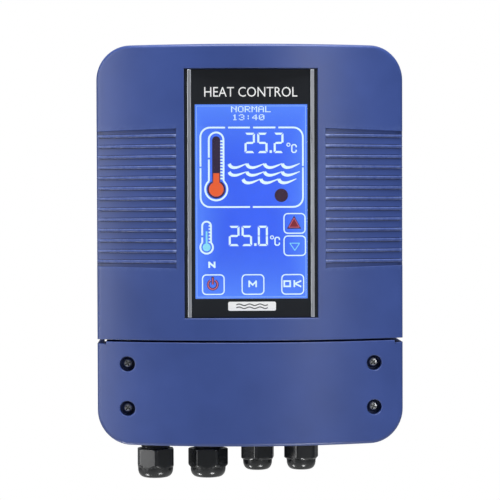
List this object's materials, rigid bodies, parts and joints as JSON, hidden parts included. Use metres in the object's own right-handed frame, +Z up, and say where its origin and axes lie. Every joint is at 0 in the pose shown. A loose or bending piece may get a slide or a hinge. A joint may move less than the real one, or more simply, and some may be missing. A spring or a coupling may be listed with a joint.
{
  "type": "wall-mounted pool heater control unit",
  "caption": "Wall-mounted control unit for a pool heat pump: crowned blue case with grip ribs, a touch display, a screwed terminal cover and cable glands below.",
  "frame": {"origin": "middle of the flat back that lies against the wall, at half the height of the covers", "axes": "+Z up, front faces -Y, +X to the right as seen from the front"},
  "size_m": [0.227, 0.105, 0.3257],
  "materials": {
    "case_blue": "fine spark-eroded grain, satin",
    "fascia_black": "gloss",
    "aluminium_trim": "satin anodised",
    "display_glass": "clear",
    "lcd_screen": "lit blue screen",
    "white_plastic": "satin",
    "rubber": "matt",
    "gland_nylon": "moulded, semi-gloss",
    "zinc_steel": "zinc plated",
    "circuit_board": "solder mask",
    "component_black": "satin",
    "terminal_green": "satin",
    "relay_plastic": "semi-gloss",
    "core_steel": "lacquered laminations",
    "capacitor_sleeve": "shrink sleeve",
    "fuse_glass": "clear",
    "ribbon_grey": "satin"
  },
  "bodies": {
    "tray": {"base_shell": "case_blue", "power_board": "circuit_board", "power_board_screw_1": "zinc_steel", "power_board_screw_2": "zinc_steel", "power_board_screw_3": "zinc_steel", "power_board_screw_4": "zinc_steel", "transformer": "core_steel", "relay_1": "relay_plastic", "relay_2": "relay_plastic", "smoothing_capacitor": "capacitor_sleeve", "mains_terminals": "component_black", "signal_terminals": "terminal_green", "fuse_holder": "component_black", "fuse": "fuse_glass", "ribbon_header": "component_black", "gland_body_1": "gland_nylon", "gland_body_2": "gland_nylon", "gland_body_3": "gland_nylon", "gland_body_4": "gland_nylon", "gland_locknut_1": "gland_nylon", "gland_locknut_2": "gland_nylon", "gland_locknut_3": "gland_nylon", "gland_locknut_4": "gland_nylon"},
    "front_cover": {"main_cover": "case_blue", "main_cover_seal": "rubber", "fascia_panel": "fascia_black", "display_seal": "rubber", "fascia_trim_left": "aluminium_trim", "fascia_trim_right": "aluminium_trim", "touch_glass": "display_glass", "lcd_panel": "lcd_screen", "backlight_unit": "white_plastic", "display_board": "circuit_board", "display_board_screw_1": "zinc_steel", "display_board_screw_2": "zinc_steel", "display_board_screw_3": "zinc_steel", "display_board_screw_4": "zinc_steel", "ribbon_cable": "ribbon_grey", "ribbon_plug": "component_black", "microcontroller": "component_black", "clock_battery": "zinc_steel", "buzzer": "component_black"},
    "wiring_cover": {"terminal_cover": "case_blue", "terminal_cover_seal": "rubber"},
    "wiring_cover_screw_1": {"terminal_cover_screw_1": "zinc_steel"},
    "wiring_cover_screw_2": {"terminal_cover_screw_2": "zinc_steel"},
    "wiring_cover_screw_3": {"terminal_cover_screw_3": "zinc_steel"},
    "wiring_cover_screw_4": {"terminal_cover_screw_4": "zinc_steel"},
    "rear_screw_1": {"main_cover_screw_1": "zinc_steel"},
    "rear_screw_2": {"main_cover_screw_2": "zinc_steel"},
    "rear_screw_3": {"main_cover_screw_3": "zinc_steel"},
    "rear_screw_4": {"main_cover_screw_4": "zinc_steel"},
    "clamp_ring_1": {"gland_seal_1": "rubber"},
    "dome_nut_1": {"gland_nut_1": "gland_nylon"},
    "clamp_ring_2": {"gland_seal_2": "rubber"},
    "dome_nut_2": {"gland_nut_2": "gland_nylon"},
    "clamp_ring_3": {"gland_seal_3": "rubber"},
    "dome_nut_3": {"gland_nut_3": "gland_nylon"},
    "clamp_ring_4": {"gland_seal_4": "rubber"},
    "dome_nut_4": {"gland_nut_4": "gland_nylon"}
  },
  "joints": [
    {"name": "main_cover_lift", "type": "slide", "parent": "tray", "child": "front_cover", "axis": [0, -1, 0], "range_m": [0, 0.09]},
    {"name": "terminal_cover_lift", "type": "slide", "parent": "tray", "child": "wiring_cover", "axis": [0, -1, 0], "range_m": [0, 0.09]},
    {"name": "terminal_screw_1_turn", "type": "hinge", "parent": "wiring_cover", "child": "wiring_cover_screw_1", "pos_m": [-0.0911, -0.0775, -0.0873], "axis": [0, -1, 0], "continuous": true},
    {"name": "terminal_screw_2_turn", "type": "hinge", "parent": "wiring_cover", "child": "wiring_cover_screw_2", "pos_m": [0.0911, -0.0775, -0.0873], "axis": [0, -1, 0], "continuous": true},
    {"name": "terminal_screw_3_turn", "type": "hinge", "parent": "wiring_cover", "child": "wiring_cover_screw_3", "pos_m": [-0.0911, -0.0775, -0.1201], "axis": [0, -1, 0], "continuous": true},
    {"name": "terminal_screw_4_turn", "type": "hinge", "parent": "wiring_cover", "child": "wiring_cover_screw_4", "pos_m": [0.0911, -0.0775, -0.1201], "axis": [0, -1, 0], "continuous": true},
    {"name": "rear_screw_1_turn", "type": "hinge", "parent": "tray", "child": "rear_screw_1", "pos_m": [-0.092, -0.0062, 0.12], "axis": [0, 1, 0], "continuous": true},
    {"name": "rear_screw_2_turn", "type": "hinge", "parent": "tray", "child": "rear_screw_2", "pos_m": [0.092, -0.0062, 0.12], "axis": [0, 1, 0], "continuous": true},
    {"name": "rear_screw_3_turn", "type": "hinge", "parent": "tray", "child": "rear_screw_3", "pos_m": [-0.092, -0.0062, -0.05], "axis": [0, 1, 0], "continuous": true},
    {"name": "rear_screw_4_turn", "type": "hinge", "parent": "tray", "child": "rear_screw_4", "pos_m": [0.092, -0.0062, -0.05], "axis": [0, 1, 0], "continuous": true},
    {"name": "gland_1_travel", "type": "slide", "parent": "tray", "child": "clamp_ring_1", "axis": [0, 0, -1], "range_m": [0, 0.0045]},
    {"name": "gland_1_turn", "type": "hinge", "parent": "clamp_ring_1", "child": "dome_nut_1", "pos_m": [-0.0715, -0.027, -0.165], "axis": [0, 0, 1], "range_deg": [0, 1080]},
    {"name": "gland_2_travel", "type": "slide", "parent": "tray", "child": "clamp_ring_2", "axis": [0, 0, -1], "range_m": [0, 0.0045]},
    {"name": "gland_2_turn", "type": "hinge", "parent": "clamp_ring_2", "child": "dome_nut_2", "pos_m": [-0.0312, -0.027, -0.165], "axis": [0, 0, 1], "range_deg": [0, 1080]},
    {"name": "gland_3_travel", "type": "slide", "parent": "tray", "child": "clamp_ring_3", "axis": [0, 0, -1], "range_m": [0, 0.0045]},
    {"name": "gland_3_turn", "type": "hinge", "parent": "clamp_ring_3", "child": "dome_nut_3", "pos_m": [0.0068, -0.027, -0.165], "axis": [0, 0, 1], "range_deg": [0, 1080]},
    {"name": "gland_4_travel", "type": "slide", "parent": "tray", "child": "clamp_ring_4", "axis": [0, 0, -1], "range_m": [0, 0.0045]},
    {"name": "gland_4_turn", "type": "hinge", "parent": "clamp_ring_4", "child": "dome_nut_4", "pos_m": [0.0404, -0.027, -0.165], "axis": [0, 0, 1], "range_deg": [0, 1080]}
  ],
  "couplings": [
    {"joint": "gland_1_travel", "follows": "gland_1_turn", "m_per_rad": 0.00023873},
    {"joint": "gland_2_travel", "follows": "gland_2_turn", "m_per_rad": 0.00023873},
    {"joint": "gland_3_travel", "follows": "gland_3_turn", "m_per_rad": 0.00023873},
    {"joint": "gland_4_travel", "follows": "gland_4_turn", "m_per_rad": 0.00023873}
  ]
}
